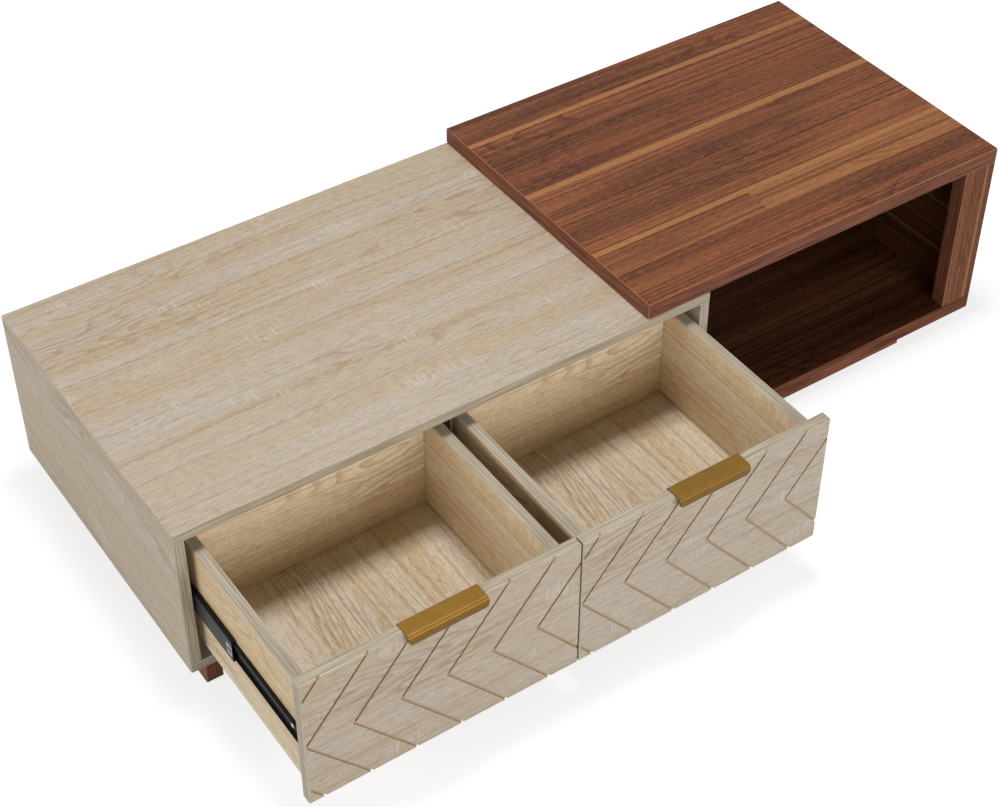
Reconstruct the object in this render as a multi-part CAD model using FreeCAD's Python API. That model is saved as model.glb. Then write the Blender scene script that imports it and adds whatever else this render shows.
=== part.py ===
import FreeCAD, Part
import math
import os

V = FreeCAD.Vector
RIGHT = V(1, 0, 0)
LEFT = V(-1, 0, 0)
BACK = V(0, 1, 0)
FRONT = V(0, -1, 0)
UP = V(0, 0, 1)
DOWN = V(0, 0, -1)

# All lengths are in millimetres. While modelling, the lower front left corner
# of the oak cabinet is the origin: X runs to the right, Y to the back, Z up.

# Oak cabinet: outside sizes, and the board that it and the drawers are cut from
cabinet_length = 840
cabinet_depth = 508
cabinet_height = 256
oak_board = 16

# The edges of every board are softened by this much
arris = 0.8

# Walnut section: its board, its length along the slide, how far it laps over
# the cabinet as drawn, and the stiles at its right end
walnut_board = 25
section_length = 657
section_overlap = 109
stile_width = 58

# Faces of the cabinet and the section stand apart by the sliding gap; pads fill
# it but for the running clearance. The stiles stop short by the closing gap.
sliding_gap = 1
running_clearance = 0.3
closing_gap = 1

# Skids under the section, base rail under the cabinet's left end, floor glides
skid_width = 25
skid_height = 22
skid_setback = 12.5
skid_end_inset = 134
base_rail_inset = 24
glide_radius = 9
glide_thickness = 2
glide_place_shares = (0.06, 0.94)

# Pads that the section slides on
pad_size = 25
pad_inset = 4
pad_place_shares = (0.07, 0.5, 0.93)

# Guide shoes in two slots of the cabinet's bottom, keeper plates and bolts
guide_inset = 95
shoe_width = 14
shoe_inset = 9
shoe_clearance = 0.4
keeper_margin = 10
keeper_end_gap = 4
keeper_thickness = 3
guide_bolt_radius = 3
guide_bolt_head_radius = 6
guide_bolt_head_height = 3
guide_bolt_tip = 1
guide_bolt_shares = (0.2, 0.8)

# Drawers: how far they stand open as drawn, gaps round the inset fronts, box
drawer_opening = 276
front_gap = 2
front_top_gap = 2.5
front_bottom_gap = 0.5
box_lift = 19
box_top_gap = 25
box_length = 322
bottom_panel = 5
bottom_panel_lift = 15
panel_groove = 5
panel_clearance = 0.2

# Chevron grooves of the drawer fronts: their points lie a little below the middle,
# and a plain land is left at the left end
chevron_count = 6
chevron_angle = 51
chevron_drop = 2.3
groove_width = 3.5
groove_depth = 3
groove_land = 3

# Edge pulls, bent from sheet: back flange, tab on the front's top edge, lip
pull_length = 114
pull_sheet = 2
pull_projection = 10.5
pull_bend_radius = 3.5
pull_lip_height = 15
pull_flange_height = 20
pull_corner_radius = 6.5

# Telescopic runners: three nested channels with balls between them
runner_height = 45
runner_thickness = 10
runner_length = 300
runner_setback = 4
runner_sheet = 1.2
runner_lip = 1.2
runner_tip_gap = 1
channel_gap = 1
middle_length = 270
middle_setback = 20
middle_tip_gap = 1.5
middle_travel_share = 0.5
ball_radius = 1.5
ball_clearance = 0.15
ball_window_clearance = 0.2
balls_per_row = 2
cage_length = 110
cage_sheet = 0.4
cage_tip_gap = 0.5
cage_end_gap = 2

# Steel partition between the drawers
partition_sheet = 2
partition_flange = 25
partition_end_gap = 4
notch_margin = 5

# Cam fittings: bolt in one board, lock in the edge region of the other
cam_radius = 7.5
cam_reach = 34
cam_overdepth = 4.5
cam_slot_width = 2
cam_slot_depth = 1.5
cam_bolt_thread_radius = 3.5
cam_bolt_thread_length = 11
cam_bolt_shank_radius = 2.8
cam_bolt_head_radius = 3.3
cam_bolt_head_length = 5
cam_inset = 60

# Fluted dowels: two in each corner of a drawer, others in the walnut section
dowel_radius = 4
oak_dowel_length = 20
walnut_dowel_length = 30
dowel_inset = 15
box_dowel_shares = (0.3, 0.75)
end_dowel_shares = (0.15, 0.5, 0.85)

# Flats round each bolt and dowel, and round each cam lock and floor glide
fastener_sides = 8
disc_sides = 12

# Clearance of fasteners in their holes, and how far cutting shapes overrun
hole_clearance = 0.1
overrun = 1

# Places that follow from the sizes above
inner_left = oak_board
inner_right = cabinet_length - oak_board
inner_floor = oak_board
inner_ceiling = cabinet_height - oak_board
cabinet_middle = cabinet_length / 2
section_left = cabinet_length - section_overlap
section_right = section_left + section_length
section_floor = -sliding_gap
section_underside = section_floor - walnut_board
section_ceiling = cabinet_height + sliding_gap
section_top = section_ceiling + walnut_board
stile_left = section_right - stile_width
section_travel = stile_left - cabinet_length - closing_gap
skid_underside = section_underside - skid_height
floor_level = skid_underside - glide_thickness
front_width = (inner_right - inner_left - 3 * front_gap) / 2
front_floor = inner_floor + front_bottom_gap
front_ceiling = inner_ceiling - front_top_gap
front_face = -drawer_opening
front_back = front_face + oak_board
box_floor = inner_floor + box_lift
box_ceiling = inner_ceiling - box_top_gap
box_end = front_back + box_length
runner_middle = (box_floor + box_ceiling) / 2
partition_left = cabinet_middle - partition_sheet / 2
partition_right = cabinet_middle + partition_sheet / 2
guide_places = (guide_inset, cabinet_depth - guide_inset)
shoe_left = section_left + shoe_inset
shoe_right = inner_right - keeper_end_gap - keeper_margin
keeper_floor = inner_floor + running_clearance
keeper_top = keeper_floor + keeper_thickness
keeper_half_width = shoe_width / 2 + keeper_margin

# The finished part stands on the floor, centred under its own bounding box
front_reach = drawer_opening + pull_projection
part_shift = V(-section_right / 2, (front_reach - cabinet_depth) / 2, -floor_level)


def block(low, high):
    """Plain rectangular solid between two corners."""
    size = V(*high) - V(*low)
    return Part.makeBox(size.x, size.y, size.z, V(*low))


def board(low, high):
    """Board between two corners, with all its edges softened."""
    solid = block(low, high)
    return solid.makeChamfer(arris, solid.Edges)


def rod(radius, start, end, sides=fastener_sides):
    """Prism with flats, along Z from one height to another."""
    turn = 2 * math.pi / sides
    corners = []
    for count in range(sides + 1):
        angle = turn * (count % sides)
        corners.append(V(radius * math.cos(angle), radius * math.sin(angle), start))
    return Part.Face(Part.makePolygon(corners)).extrude(UP * (end - start))


def sheet_strip(points, thickness, length):
    """Bent sheet: an inner line through (x, z) points, thickened outwards, drawn along Y."""
    line = Part.makePolygon([V(x, 0, z) for x, z in points])
    return line.makeOffset2D(thickness, 0, True, True).extrude(BACK * length)


def stadium(left, right, middle, width, bottom, top):
    """Upright prism along X whose two ends are half round."""
    radius = width / 2
    near_left = V(left + radius, middle - radius, bottom)
    near_right = V(right - radius, middle - radius, bottom)
    far_left = V(left + radius, middle + radius, bottom)
    far_right = V(right - radius, middle + radius, bottom)
    edges = [
        Part.LineSegment(near_left, near_right).toShape(),
        Part.Arc(near_right, V(right, middle, bottom), far_right).toShape(),
        Part.LineSegment(far_right, far_left).toShape(),
        Part.Arc(far_left, V(left, middle, bottom), near_left).toShape(),
    ]
    return Part.Face(Part.Wire(edges)).extrude(UP * (top - bottom))


def placed(shape, origin, along, facing):
    """Copy of a shape with its Z axis along one direction and its X axis facing another."""
    copy = shape.copy()
    turn = FreeCAD.Rotation(facing, along.cross(facing), along, "ZXY")
    copy.Placement = FreeCAD.Placement(V(*origin), turn)
    return copy


def drilled(shape, cutters):
    """Shape with a list of cutting shapes taken out of it."""
    return shape.cut(Part.makeCompound(cutters))


def along_span(start, end, shares):
    """Places at the given shares of a span."""
    return [start + (end - start) * share for share in shares]


def cam_joint(board_thickness):
    """Bolt, lock and the two holes of a cam fitting. The joint is at Z = 0, the
    bolt's axis is Z, and the lock opens on the board's face towards +X."""
    head_start = cam_reach - cam_bolt_head_length / 2
    head_end = cam_reach + cam_bolt_head_length / 2
    thread = rod(cam_bolt_thread_radius, -cam_bolt_thread_length, 0)
    shank = rod(cam_bolt_shank_radius, 0, head_start)
    head = rod(cam_bolt_head_radius, head_start, head_end)
    bolt = thread.fuse([shank, head])
    bore = rod(cam_bolt_head_radius + hole_clearance, 0, head_end + hole_clearance)
    face = board_thickness / 2
    floor = -cam_overdepth
    slot = block(
        (-cam_slot_width / 2, -cam_radius, face - cam_slot_depth),
        (cam_slot_width / 2, cam_radius, face + overrun),
    )
    lock = drilled(rod(cam_radius, floor, face, disc_sides), [slot])
    pocket = rod(cam_radius + hole_clearance, floor - hole_clearance, face + overrun, disc_sides)
    lock = drilled(placed(lock, (0, 0, cam_reach), RIGHT, UP), [bore])
    lock_hole = placed(pocket, (0, 0, cam_reach), RIGHT, UP).fuse(bore)
    thread_hole = rod(
        cam_bolt_thread_radius + hole_clearance, -cam_bolt_thread_length - hole_clearance, 0
    )
    return bolt, lock, lock_hole, thread_hole


def cam_fittings(board_thickness, places):
    """Bolts, locks, lock holes and thread holes at (origin, along, facing) places."""
    pieces = cam_joint(board_thickness)
    return [[placed(piece, *place) for place in places] for piece in pieces]


def dowels(length, places):
    """Dowels centred on (origin, along) places, and their holes."""
    pin = rod(dowel_radius, -length / 2, length / 2)
    half_hole = length / 2 + hole_clearance
    hole = rod(dowel_radius + hole_clearance, -half_hole, half_hole)
    pins = []
    holes = []
    for origin, along in places:
        facing = RIGHT if along is UP else UP
        pins.append(placed(pin, origin, along, facing))
        holes.append(placed(hole, origin, along, facing))
    return pins, holes


def export(name, *shapes):
    """Write one piece, or a group of separate like pieces, in the finished part's place."""
    moved = shapes[0].copy() if len(shapes) == 1 else Part.makeCompound(shapes)
    moved.translate(part_shift)
    moved.exportStep("parts/" + name + ".step")


os.makedirs("parts", exist_ok=True)

# Oak cabinet: the top and bottom run the full length, sides and back stand between
back_face = cabinet_depth - oak_board
oak_top = board((0, 0, inner_ceiling), (cabinet_length, cabinet_depth, cabinet_height))
oak_bottom = board((0, 0, 0), (cabinet_length, cabinet_depth, inner_floor))
oak_left_side = board((0, 0, inner_floor), (inner_left, cabinet_depth, inner_ceiling))
oak_right_side = board(
    (inner_right, 0, inner_floor),
    (cabinet_length, cabinet_depth, inner_ceiling),
)
oak_back = board(
    (inner_left, back_face, inner_floor),
    (inner_right, cabinet_depth, inner_ceiling),
)

# Sides to top and bottom with cam fittings, back to the sides with dowels
left_middle = oak_board / 2
right_middle = cabinet_length - oak_board / 2
side_places = []
for y in (cam_inset, cabinet_depth - cam_inset):
    for height, along in ((inner_ceiling, DOWN), (inner_floor, UP)):
        side_places.append(((left_middle, y, height), along, RIGHT))
        side_places.append(((right_middle, y, height), along, LEFT))
cam_bolts, cam_locks, lock_holes, thread_holes = cam_fittings(oak_board, side_places)
back_dowel_places = []
for x in (inner_left, inner_right):
    for z in (inner_floor + cam_inset, inner_ceiling - cam_inset):
        back_dowel_places.append(((x, cabinet_depth - oak_board / 2, z), RIGHT))
back_dowels, back_dowel_holes = dowels(oak_dowel_length, back_dowel_places)

# Slots in the cabinet's bottom, as long as the section's travel, and the notches
# that let the keeper plates pass under the partition
slots = []
notches = []
partition_start = oak_board + runner_setback
partition_end = back_face - partition_end_gap
flange_end = partition_right + partition_flange
for y in guide_places:
    slots.append(stadium(
        shoe_left - section_travel - shoe_clearance,
        shoe_right + shoe_clearance,
        y,
        shoe_width + 2 * shoe_clearance,
        -overrun,
        inner_floor + overrun,
    ))
    reach = keeper_half_width + notch_margin
    notches.append(block(
        (partition_left - overrun, y - reach, inner_floor - overrun),
        (flange_end + overrun, y + reach, keeper_top + notch_margin),
    ))

# Steel partition: a folded channel that carries the two inner cabinet runners
flange_floor = inner_floor + partition_sheet
flange_ceiling = inner_ceiling - partition_sheet
slide_partition = sheet_strip(
    [
        (flange_end, flange_floor),
        (partition_right, flange_floor),
        (partition_right, flange_ceiling),
        (flange_end, flange_ceiling),
    ],
    partition_sheet,
    partition_end - partition_start,
)
slide_partition.translate(BACK * partition_start)

export("oak_top", drilled(oak_top, thread_holes))
export("oak_bottom", drilled(oak_bottom, thread_holes + slots))
export("oak_left_side", drilled(oak_left_side, lock_holes + back_dowel_holes))
export("oak_right_side", drilled(oak_right_side, lock_holes + back_dowel_holes))
export("oak_back", drilled(oak_back, back_dowel_holes))
export("cabinet_cam_bolts", *cam_bolts)
export("cabinet_cam_locks", *cam_locks)
export("cabinet_dowels", *back_dowels)
export("slide_partition", drilled(slide_partition, notches))

# Base rail under the cabinet's left end, along the depth, on two floor glides
rail_front = skid_setback
rail_back = cabinet_depth - skid_setback
left_base_rail = board(
    (base_rail_inset, rail_front, skid_underside),
    (base_rail_inset + walnut_board, rail_back, 0),
)
rail_middle = base_rail_inset + walnut_board / 2
rail_glides = []
for y in along_span(rail_front, rail_back, glide_place_shares):
    glide = rod(glide_radius, floor_level, skid_underside, disc_sides)
    glide.translate(V(rail_middle, y, 0))
    rail_glides.append(glide)
export("left_base_rail", left_base_rail)
export("base_rail_glides", *rail_glides)

# Walnut section: top and bottom boards, two stiles and a set-back end panel
rear_stile_face = cabinet_depth - walnut_board
end_face = section_right - walnut_board
walnut_top = board(
    (section_left, 0, section_ceiling),
    (section_right, cabinet_depth, section_top),
)
walnut_bottom = board(
    (section_left, 0, section_underside),
    (section_right, cabinet_depth, section_floor),
)
walnut_front_stile = board(
    (stile_left, 0, section_floor),
    (section_right, walnut_board, section_ceiling),
)
walnut_rear_stile = board(
    (stile_left, rear_stile_face, section_floor),
    (section_right, cabinet_depth, section_ceiling),
)
walnut_end_panel = board(
    (end_face, walnut_board, section_floor),
    (section_right, rear_stile_face, section_ceiling),
)

# End panel: cam fittings to the top, dowels to the bottom; stiles: dowels at both ends
end_middle = section_right - walnut_board / 2
end_places = []
for y in (walnut_board + cam_inset, rear_stile_face - cam_inset):
    end_places.append(((end_middle, y, section_ceiling), DOWN, LEFT))
end_bolts, end_locks, end_lock_holes, end_thread_holes = cam_fittings(walnut_board, end_places)
dowel_places = []
for y in along_span(walnut_board, rear_stile_face, end_dowel_shares):
    dowel_places.append(((end_middle, y, section_floor), UP))
for y in (walnut_board / 2, cabinet_depth - walnut_board / 2):
    for x in (stile_left + dowel_inset, section_right - dowel_inset):
        dowel_places.append(((x, y, section_floor), UP))
        dowel_places.append(((x, y, section_ceiling), UP))
section_dowels, section_dowel_holes = dowels(walnut_dowel_length, dowel_places)

# Guide shoes that fill the slots, keeper plates on them, bolts from below
guide_shoes = []
guide_keepers = []
guide_bolts = []
bolt_holes = []
bolt_end = keeper_top + guide_bolt_tip
head_end = section_underside + guide_bolt_head_height
for y in guide_places:
    guide_shoes.append(stadium(shoe_left, shoe_right, y, shoe_width, section_floor, keeper_floor))
    guide_keepers.append(block(
        (shoe_left - keeper_margin, y - keeper_half_width, keeper_floor),
        (shoe_right + keeper_margin, y + keeper_half_width, keeper_top),
    ))
    for x in along_span(shoe_left, shoe_right, guide_bolt_shares):
        for extra, group in ((0, guide_bolts), (hole_clearance, bolt_holes)):
            shank = rod(guide_bolt_radius + extra, section_underside, bolt_end)
            head = rod(guide_bolt_head_radius + extra, section_underside, head_end + extra)
            bolt = shank.fuse(head).removeSplitter()
            bolt.translate(V(x, y, 0))
            group.append(bolt)

# Thin pads on the faces that run on the cabinet, above and below it
pad_thickness = sliding_gap - running_clearance
pad_left = section_left + pad_inset
glide_pads = []
for y in along_span(0, cabinet_depth, pad_place_shares):
    for bottom in (section_floor, section_ceiling - pad_thickness):
        glide_pads.append(block(
            (pad_left, y - pad_size / 2, bottom),
            (pad_left + pad_size, y + pad_size / 2, bottom + pad_thickness),
        ))

# Skids under the bottom board, each on two floor glides
skid_start = section_left + skid_end_inset
skid_end = section_right - skid_end_inset
skid_fronts = {
    "front_skid": skid_setback,
    "rear_skid": cabinet_depth - skid_setback - skid_width,
}
skid_glides = []
for name, face in skid_fronts.items():
    skid = board(
        (skid_start, face, skid_underside),
        (skid_end, face + skid_width, section_underside),
    )
    export(name, skid)
    for x in along_span(skid_start, skid_end, glide_place_shares):
        glide = rod(glide_radius, floor_level, skid_underside, disc_sides)
        glide.translate(V(x, face + skid_width / 2, 0))
        skid_glides.append(glide)

export("walnut_top", drilled(walnut_top, end_thread_holes + section_dowel_holes))
export("walnut_bottom", drilled(walnut_bottom, section_dowel_holes + bolt_holes))
export("walnut_front_stile", drilled(walnut_front_stile, section_dowel_holes))
export("walnut_rear_stile", drilled(walnut_rear_stile, section_dowel_holes))
export("walnut_end_panel", drilled(walnut_end_panel, end_lock_holes + section_dowel_holes))
export("walnut_cam_bolts", *end_bolts)
export("walnut_cam_locks", *end_locks)
export("walnut_dowels", *section_dowels)
export("skid_glides", *skid_glides)
export("glide_pads", *glide_pads)
export("guide_shoes", *[drilled(shoe, bolt_holes) for shoe in guide_shoes])
export("guide_keepers", *[drilled(keeper, bolt_holes) for keeper in guide_keepers])
export("guide_bolts", *guide_bolts)

# Cross-sections of the runners: X runs from the cabinet's wall to the drawer, Z is
# the height about the middle. Each channel leaves room for a row of balls.
ball_room = 2 * (ball_radius + ball_clearance)
outer_inside = runner_height / 2 - runner_sheet
middle_outside = outer_inside - ball_room
middle_inside = middle_outside - runner_sheet
inner_outside = middle_inside - ball_room
inner_inside = inner_outside - runner_sheet
lip_face = runner_thickness - runner_tip_gap - runner_sheet
lip_tip = outer_inside - runner_lip
middle_back = runner_sheet + channel_gap
middle_web = middle_back + runner_sheet
middle_tip = runner_thickness - middle_tip_gap
inner_tip = middle_web + channel_gap
inner_web = runner_thickness - runner_sheet
cabinet_runner = sheet_strip(
    [
        (lip_face, -lip_tip),
        (lip_face, -outer_inside),
        (runner_sheet, -outer_inside),
        (runner_sheet, outer_inside),
        (lip_face, outer_inside),
        (lip_face, lip_tip),
    ],
    runner_sheet,
    runner_length,
)
middle_runner = sheet_strip(
    [
        (middle_tip, -middle_inside),
        (middle_web, -middle_inside),
        (middle_web, middle_inside),
        (middle_tip, middle_inside),
    ],
    runner_sheet,
    middle_length,
)
drawer_runner = sheet_strip(
    [
        (inner_tip, inner_inside),
        (inner_web, inner_inside),
        (inner_web, -inner_inside),
        (inner_tip, -inner_inside),
    ],
    runner_sheet,
    runner_length,
)


def faceted_ball(place):
    """Ball cut from a cube: every flat touches the sphere of the ball's radius."""
    half = V(ball_radius, ball_radius, ball_radius)
    cube = block(place - half, place + half)
    return cube.makeChamfer(ball_radius * (2 - math.sqrt(2)), cube.Edges)


def ball_cage(gap_start, tip, ball_height, start):
    """Bent cage, centred in the gap between two channels, with its rows of balls."""
    web = gap_start + (channel_gap + cage_sheet) / 2
    inside = ball_height - cage_sheet / 2
    cage = sheet_strip(
        [(tip, -inside), (web, -inside), (web, inside), (tip, inside)],
        cage_sheet,
        cage_length,
    )
    balls = []
    windows = []
    pitch = cage_length / balls_per_row
    ball_x = (web + tip) / 2
    half = ball_radius + ball_window_clearance
    for count in range(balls_per_row):
        y = pitch / 2 + pitch * count
        windows.append(block(
            (ball_x - half, y - half, -runner_height / 2),
            (ball_x + half, y + half, runner_height / 2),
        ))
        for z in (-ball_height, ball_height):
            balls.append(faceted_ball(V(ball_x, y, z)))
    pieces = [drilled(cage, windows)] + balls
    for piece in pieces:
        piece.translate(BACK * start)
    return pieces


# Cages ride with the middle runner: one at its rear, in the cabinet's channel, and
# one at its front, round the drawer's channel
middle_cages = ball_cage(
    runner_sheet,
    lip_face - cage_tip_gap,
    (outer_inside + middle_outside) / 2,
    middle_length - cage_length - cage_end_gap,
)
middle_cages += ball_cage(
    middle_web,
    middle_tip,
    (middle_inside + inner_outside) / 2,
    cage_end_gap,
)


def on_wall(shape, wall, start):
    """Runner piece on a cabinet wall (place along X, direction towards the drawer)."""
    place, direction = wall
    copy = shape.copy()
    if direction is LEFT:
        copy = copy.mirror(V(), RIGHT)
    copy.translate(V(place, start, runner_middle))
    return copy


def chevron_grooves(left):
    """Cutters for the arrow-shaped grooves of a front that starts at the given place."""
    slope = math.tan(math.radians(chevron_angle))
    width_across = groove_width / math.sin(math.radians(chevron_angle))
    pitch = front_width / chevron_count
    middle = (front_floor + front_ceiling) / 2 - chevron_drop
    half = front_ceiling - middle + overrun
    run = half / slope
    field = block(
        (left + groove_land, front_face - overrun, front_floor - overrun),
        (left + front_width + overrun, front_face + groove_depth, front_ceiling + overrun),
    )
    grooves = []
    for count in range(-math.floor(run / pitch), chevron_count):
        tip = left + pitch * count
        outline = [
            (tip, middle),
            (tip + run, middle + half),
            (tip + run + width_across, middle + half),
            (tip + width_across, middle),
            (tip + run + width_across, middle - half),
            (tip + run, middle - half),
            (tip, middle),
        ]
        points = [V(x, front_face - overrun, z) for x, z in outline]
        prism = Part.Face(Part.makePolygon(points)).extrude(BACK * (groove_depth + overrun))
        grooves += prism.common(field).Solids
    return grooves


def edge_pull(left):
    """Pull bent over the top edge of a front that starts at the given place."""
    lip_inside = front_face - pull_projection + pull_sheet
    lip_bottom = front_ceiling + pull_sheet - pull_lip_height
    bend_start = lip_inside + pull_bend_radius
    bend_end = front_ceiling - pull_bend_radius
    bend_reach = pull_bend_radius * math.cos(math.pi / 4)
    flange_bottom = V(0, front_back, front_ceiling - pull_flange_height)
    tab_back = V(0, front_back, front_ceiling)
    tab_front = V(0, bend_start, front_ceiling)
    bend_middle = V(0, bend_start - bend_reach, bend_end + bend_reach)
    lip_top = V(0, lip_inside, bend_end)
    path = Part.Wire([
        Part.LineSegment(flange_bottom, tab_back).toShape(),
        Part.LineSegment(tab_back, tab_front).toShape(),
        Part.Arc(tab_front, bend_middle, lip_top).toShape(),
        Part.LineSegment(lip_top, V(0, lip_inside, lip_bottom)).toShape(),
    ])
    pull = path.makeOffset2D(pull_sheet, 0, True, True).extrude(RIGHT * pull_length)
    pull.translate(RIGHT * (left + (front_width - pull_length) / 2))
    low_corners = []
    for edge in pull.Edges:
        box = edge.BoundBox
        if box.YLength > pull_sheet / 2 and box.ZMax < bend_end:
            low_corners.append(edge)
    return pull.makeFillet(pull_corner_radius, low_corners)


# Where the runners start along Y, as drawn with the drawers open
cabinet_runner_start = oak_board + runner_setback
drawer_runner_start = front_back + runner_setback
middle_start = cabinet_runner_start + middle_setback - drawer_opening * middle_travel_share

# Each drawer: the place of its front, and the two walls that its runners hang on
left_front = inner_left + front_gap
right_front = left_front + front_width + front_gap
drawers = {
    "left_drawer": (left_front, (inner_left, RIGHT), (partition_left, LEFT)),
    "right_drawer": (right_front, (partition_right, RIGHT), (inner_right, LEFT)),
}
for name, (front_left, left_wall, right_wall) in drawers.items():
    box_left = left_wall[0] + runner_thickness
    box_right = right_wall[0] - runner_thickness
    inside_left = box_left + oak_board
    inside_right = box_right - oak_board
    inside_end = box_end - oak_board

    # Boards of the drawer: inset front, two sides, back between the sides
    front = board(
        (front_left, front_face, front_floor),
        (front_left + front_width, front_back, front_ceiling),
    )
    left_side = board((box_left, front_back, box_floor), (inside_left, box_end, box_ceiling))
    right_side = board((inside_right, front_back, box_floor), (box_right, box_end, box_ceiling))
    back = board((inside_left, inside_end, box_floor), (inside_right, box_end, box_ceiling))

    # Thin bottom, held in grooves of all four
    tongue = panel_groove - panel_clearance
    panel_low = V(inside_left - tongue, front_back - tongue, box_floor + bottom_panel_lift)
    panel_high = V(inside_right + tongue, inside_end + tongue, panel_low.z + bottom_panel)
    gap = V(panel_clearance, panel_clearance, panel_clearance)
    bottom = block(panel_low, panel_high)
    groove = block(panel_low - gap, panel_high + gap)

    # Two dowels in each corner of the box
    corner_places = []
    for z in along_span(box_floor, box_ceiling, box_dowel_shares):
        for x in (box_left + oak_board / 2, box_right - oak_board / 2):
            corner_places.append(((x, front_back, z), BACK))
        for x in (inside_left, inside_right):
            corner_places.append(((x, box_end - oak_board / 2, z), RIGHT))
    corner_dowels, corner_holes = dowels(oak_dowel_length, corner_places)

    box_cuts = [groove] + corner_holes
    export(name + "_front", drilled(front, box_cuts + chevron_grooves(front_left)))
    export(name + "_left_side", drilled(left_side, box_cuts))
    export(name + "_right_side", drilled(right_side, box_cuts))
    export(name + "_back", drilled(back, box_cuts))
    export(name + "_bottom", bottom)
    export(name + "_dowels", *corner_dowels)
    export(name + "_pull", edge_pull(front_left))

    # Runners: one channel on the cabinet, one on the drawer, one half way between
    walls = (left_wall, right_wall)
    cages = [on_wall(piece, wall, middle_start) for wall in walls for piece in middle_cages]
    export(
        name + "_cabinet_runners",
        *[on_wall(cabinet_runner, wall, cabinet_runner_start) for wall in walls],
    )
    export(
        name + "_drawer_runners",
        *[on_wall(drawer_runner, wall, drawer_runner_start) for wall in walls],
    )
    export(
        name + "_middle_runners",
        *[on_wall(middle_runner, wall, middle_start) for wall in walls],
    )
    export(name + "_ball_cages", *cages)
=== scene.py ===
import math
from typing import NamedTuple

import bmesh
import bpy
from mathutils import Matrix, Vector


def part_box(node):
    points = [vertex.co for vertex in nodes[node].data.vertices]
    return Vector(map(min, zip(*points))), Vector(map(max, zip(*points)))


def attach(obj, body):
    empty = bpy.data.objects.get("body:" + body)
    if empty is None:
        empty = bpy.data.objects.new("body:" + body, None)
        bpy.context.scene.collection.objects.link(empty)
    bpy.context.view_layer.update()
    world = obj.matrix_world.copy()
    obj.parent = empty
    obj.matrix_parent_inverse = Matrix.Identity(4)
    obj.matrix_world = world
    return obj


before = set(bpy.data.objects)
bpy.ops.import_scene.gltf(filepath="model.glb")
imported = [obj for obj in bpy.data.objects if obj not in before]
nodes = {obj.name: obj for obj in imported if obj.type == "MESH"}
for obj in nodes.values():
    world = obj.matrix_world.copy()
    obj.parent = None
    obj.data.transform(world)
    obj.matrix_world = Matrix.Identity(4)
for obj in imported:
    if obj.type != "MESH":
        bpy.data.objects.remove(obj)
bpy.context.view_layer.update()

# Cabinet boards: 16 mm particle board faced with a pale sawn-oak print, its
# edges banded with a finely striped strip. Top and bottom run through, the
# sides and back stand between them on cam fittings and dowels.
X, Y, Z = 0, 1, 2


def shade(red, green, blue):
    """Colour given in 0 to 255 steps, as linear values by the standard sRGB curve."""
    linear = []
    for step in (red, green, blue):
        value = step / 255
        linear.append(value / 12.92 if value <= 0.04045 else ((value + 0.055) / 1.055) ** 2.4)
    return (*linear, 1.0)


def new_finish(name):
    """Material, with its node tree and its shader."""
    finish = bpy.data.materials.new(name)
    finish.use_nodes = True
    tree = finish.node_tree
    return finish, tree, tree.nodes["Principled BSDF"]


def put(tree, kind, values=(), **settings):
    """Node of a kind, with its settings made and its inputs set or linked."""
    made = tree.nodes.new("ShaderNode" + kind)
    for name, value in settings.items():
        setattr(made, name, value)
    for socket, value in values:
        if isinstance(value, bpy.types.NodeSocket):
            tree.links.new(value, made.inputs[socket])
        else:
            made.inputs[socket].default_value = value
    return made


def calc(tree, operation, *values):
    """Result of one sum on numbers or sockets."""
    return put(tree, "Math", list(enumerate(values)), operation=operation).outputs[0]


def speckle(tree, along, across, through, detail=2.0, roughness=0.5):
    """Soft noise from 0 to 1 at a place that is already scaled."""
    place = put(tree, "CombineXYZ", [(X, along), (Y, across), (Z, through)]).outputs[0]
    values = [("Vector", place), ("Scale", 1.0), ("Detail", detail), ("Roughness", roughness)]
    return put(tree, "TexNoise", values).outputs["Fac"]


def fade(tree, value, low, high):
    """0 up to low, 1 from high on, smooth in between."""
    values = [("Value", value), ("From Min", low), ("From Max", high)]
    return put(tree, "MapRange", values, interpolation_type="SMOOTHSTEP").outputs[0]


# Places of the colour sockets on a Mix node.
MIX_SHARE, MIX_FIRST, MIX_SECOND, MIX_RESULT = 0, 6, 7, 2


def blend(tree, share, first, second, how="MIX"):
    """Two colours mixed by a share."""
    values = [(MIX_SHARE, share), (MIX_FIRST, first), (MIX_SECOND, second)]
    return put(tree, "Mix", values, data_type="RGBA", blend_type=how).outputs[MIX_RESULT]


def tint(tree, colour, share, strength, other):
    """Colour moved towards another one where a share says so."""
    return blend(tree, calc(tree, "MULTIPLY", share, strength), colour, other)


def board_places(tree, along, across, start):
    """Sockets of a board: place along the grain, across it and through it (metres),
    and how far the surface faces out of the board's face, its end and its edge."""
    place = put(tree, "TexCoord")
    xyz = put(tree, "SeparateXYZ", [(0, place.outputs["Object"])]).outputs
    facing = put(tree, "SeparateXYZ", [(0, place.outputs["Normal"])]).outputs
    through = X + Y + Z - along - across
    spots = [calc(tree, "SUBTRACT", xyz[axis], start[axis]) for axis in (along, across, through)]
    sides = [calc(tree, "ABSOLUTE", facing[axis]) for axis in (through, along, across)]
    return spots, sides


class Layer(NamedTuple):
    """Layer of a wood print: length and width of its strands in metres, detail and
    shift of its noise, the noise from low to high over which it comes up, its strength."""
    length: float
    width: float
    detail: float
    shift: float = 0.0
    low: float = 0.0
    high: float = 1.0
    strength: float = 1.0


STRAND_ROUGHNESS = 0.6


def strands(tree, run, side, seed, layer):
    """Noise drawn out along the grain into the strands of a layer."""
    along = calc(tree, "MULTIPLY_ADD", run, 1 / layer.length, seed)
    across = calc(tree, "MULTIPLY", side, 1 / layer.width)
    return speckle(tree, along, across, seed, layer.detail, STRAND_ROUGHNESS)


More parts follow.
